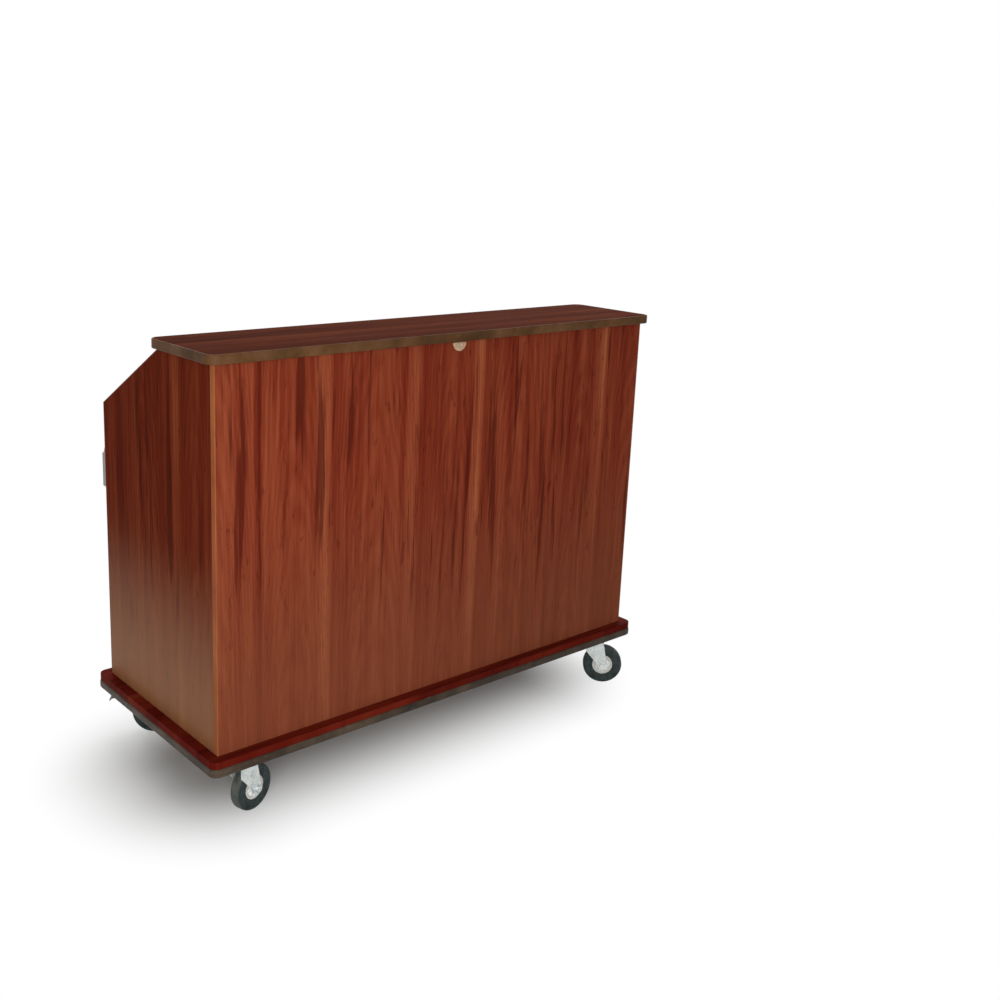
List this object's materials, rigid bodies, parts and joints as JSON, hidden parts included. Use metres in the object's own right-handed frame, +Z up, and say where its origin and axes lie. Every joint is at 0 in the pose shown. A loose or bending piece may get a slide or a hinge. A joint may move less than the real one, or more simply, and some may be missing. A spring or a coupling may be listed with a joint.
{
  "type": "portable bar",
  "caption": "Wheeled bar counter with wood-grain panels, raised guest top, steel worktop with ice bin, bottle rails and an open rear storage bay.",
  "frame": {"origin": "on the floor under the middle of the bar's bounding box", "axes": "+X along the bar to the right as guests see it, +Y from the guests to the bartender, +Z up"},
  "size_m": [1.588, 0.7591, 1.229],
  "materials": {
    "front_laminate": "satin wood-grain laminate, grain upright",
    "side_laminate": "satin wood-grain laminate, grain upright",
    "top_laminate": "satin wood-grain laminate, grain along the bar",
    "deck_laminate": "satin wood-grain laminate",
    "apron_laminate": "satin wood-grain laminate, grain along the bar",
    "timber": "sawn timber",
    "edge_strip": "satin edge strip",
    "top_band": "satin moulded edge band",
    "bumper": "satin vinyl bumper",
    "stainless": "brushed stainless steel",
    "foam": "matt foam board",
    "zinc": "bright zinc plate",
    "hub": "satin moulded plastic",
    "tyre": "matt rubber",
    "bushing": "turned bronze",
    "pedal": "black paint",
    "valve_brass": "turned brass",
    "badge": "satin brass, blank",
    "lever": "red dipped coating"
  },
  "bodies": {
    "cabinet": {"angle_brackets": "zinc", "badge_plate": "badge", "base_bumper": "bumper", "base_cross_rails": "timber", "base_deck": "deck_laminate", "base_long_rails": "timber", "bracket_screws": "zinc", "caster_bolts": "zinc", "caster_fl_plate": "zinc", "caster_fr_plate": "zinc", "caster_kingpins": "zinc", "caster_rl_plate": "zinc", "caster_rr_plate": "zinc", "drain_strainer": "stainless", "drain_valve": "valve_brass", "front_panel": "front_laminate", "ice_bin_jacket": "foam", "ice_bin_liner": "stainless", "left_edge_strip": "edge_strip", "left_side_panel": "side_laminate", "rear_apron": "apron_laminate", "right_edge_strip": "edge_strip", "right_side_panel": "side_laminate", "top_board": "top_laminate", "top_cleats": "timber", "top_edge_band": "top_band", "worktop": "stainless", "worktop_cleats": "timber"},
    "fork_fl": {"caster_fl_fork": "zinc", "caster_fl_axle": "zinc"},
    "wheel_fl": {"caster_fl_hub": "hub", "caster_fl_tyre": "tyre", "caster_fl_bushing": "bushing"},
    "fork_fr": {"caster_fr_fork": "zinc", "caster_fr_axle": "zinc"},
    "wheel_fr": {"caster_fr_hub": "hub", "caster_fr_tyre": "tyre", "caster_fr_bushing": "bushing"},
    "fork_rl": {"caster_rl_fork": "zinc", "caster_rl_axle": "zinc", "caster_rl_brake_pin": "zinc"},
    "wheel_rl": {"caster_rl_hub": "hub", "caster_rl_tyre": "tyre", "caster_rl_bushing": "bushing"},
    "brake_rl": {"caster_rl_brake_pedal": "pedal"},
    "fork_rr": {"caster_rr_fork": "zinc", "caster_rr_axle": "zinc", "caster_rr_brake_pin": "zinc"},
    "wheel_rr": {"caster_rr_hub": "hub", "caster_rr_tyre": "tyre", "caster_rr_bushing": "bushing"},
    "brake_rr": {"caster_rr_brake_pedal": "pedal"},
    "divider": {"bin_divider": "stainless"},
    "drain_handle": {"drain_lever": "lever"},
    "left_rail": {"left_speed_rail": "stainless", "left_rail_ends": "stainless"},
    "right_rail": {"right_speed_rail": "stainless", "right_rail_ends": "stainless"}
  },
  "joints": [
    {"name": "front_left_swivel", "type": "hinge", "parent": "cabinet", "child": "fork_fl", "pos_m": [-0.675, -0.314, 0.155], "axis": [0, 0, 1], "continuous": true},
    {"name": "front_left_roll", "type": "hinge", "parent": "fork_fl", "child": "wheel_fl", "pos_m": [-0.64602, -0.30624, 0.0635], "axis": [0.2588, -0.9659, 0], "continuous": true},
    {"name": "front_right_swivel", "type": "hinge", "parent": "cabinet", "child": "fork_fr", "pos_m": [0.675, -0.314, 0.155], "axis": [0, 0, 1], "continuous": true},
    {"name": "front_right_roll", "type": "hinge", "parent": "fork_fr", "child": "wheel_fr", "pos_m": [0.69621, -0.33521, 0.0635], "axis": [-0.7071, -0.7071, 0], "continuous": true},
    {"name": "rear_left_swivel", "type": "hinge", "parent": "cabinet", "child": "fork_rl", "pos_m": [-0.675, 0.246, 0.155], "axis": [0, 0, 1], "continuous": true},
    {"name": "rear_left_roll", "type": "hinge", "parent": "fork_rl", "child": "wheel_rl", "pos_m": [-0.65043, 0.22879, 0.0635], "axis": [-0.5736, -0.8192, 0], "continuous": true},
    {"name": "rear_left_brake", "type": "hinge", "parent": "fork_rl", "child": "brake_rl", "pos_m": [-0.69794, 0.26206, 0.122], "axis": [-0.5736, -0.8192, 0], "range_deg": [0, 15]},
    {"name": "rear_right_swivel", "type": "hinge", "parent": "cabinet", "child": "fork_rr", "pos_m": [0.675, 0.246, 0.155], "axis": [0, 0, 1], "continuous": true},
    {"name": "rear_right_roll", "type": "hinge", "parent": "fork_rr", "child": "wheel_rr", "pos_m": [0.645, 0.246, 0.0635], "axis": [0, 1, 0], "continuous": true},
    {"name": "rear_right_brake", "type": "hinge", "parent": "fork_rr", "child": "brake_rr", "pos_m": [0.703, 0.246, 0.122], "axis": [0, 1, 0], "range_deg": [0, 15]},
    {"name": "divider_lift", "type": "slide", "parent": "cabinet", "child": "divider", "axis": [0, 0, 1], "range_m": [0, 0.22]},
    {"name": "drain_turn", "type": "hinge", "parent": "cabinet", "child": "drain_handle", "pos_m": [0.118, -0.016, 0.7125], "axis": [0, 1, 0], "range_deg": [0, 90]},
    {"name": "left_rail_lift", "type": "slide", "parent": "cabinet", "child": "left_rail", "axis": [0, 0, 1], "range_m": [0, 0.06]},
    {"name": "right_rail_lift", "type": "slide", "parent": "cabinet", "child": "right_rail", "axis": [0, 0, 1], "range_m": [0, 0.06]}
  ]
}
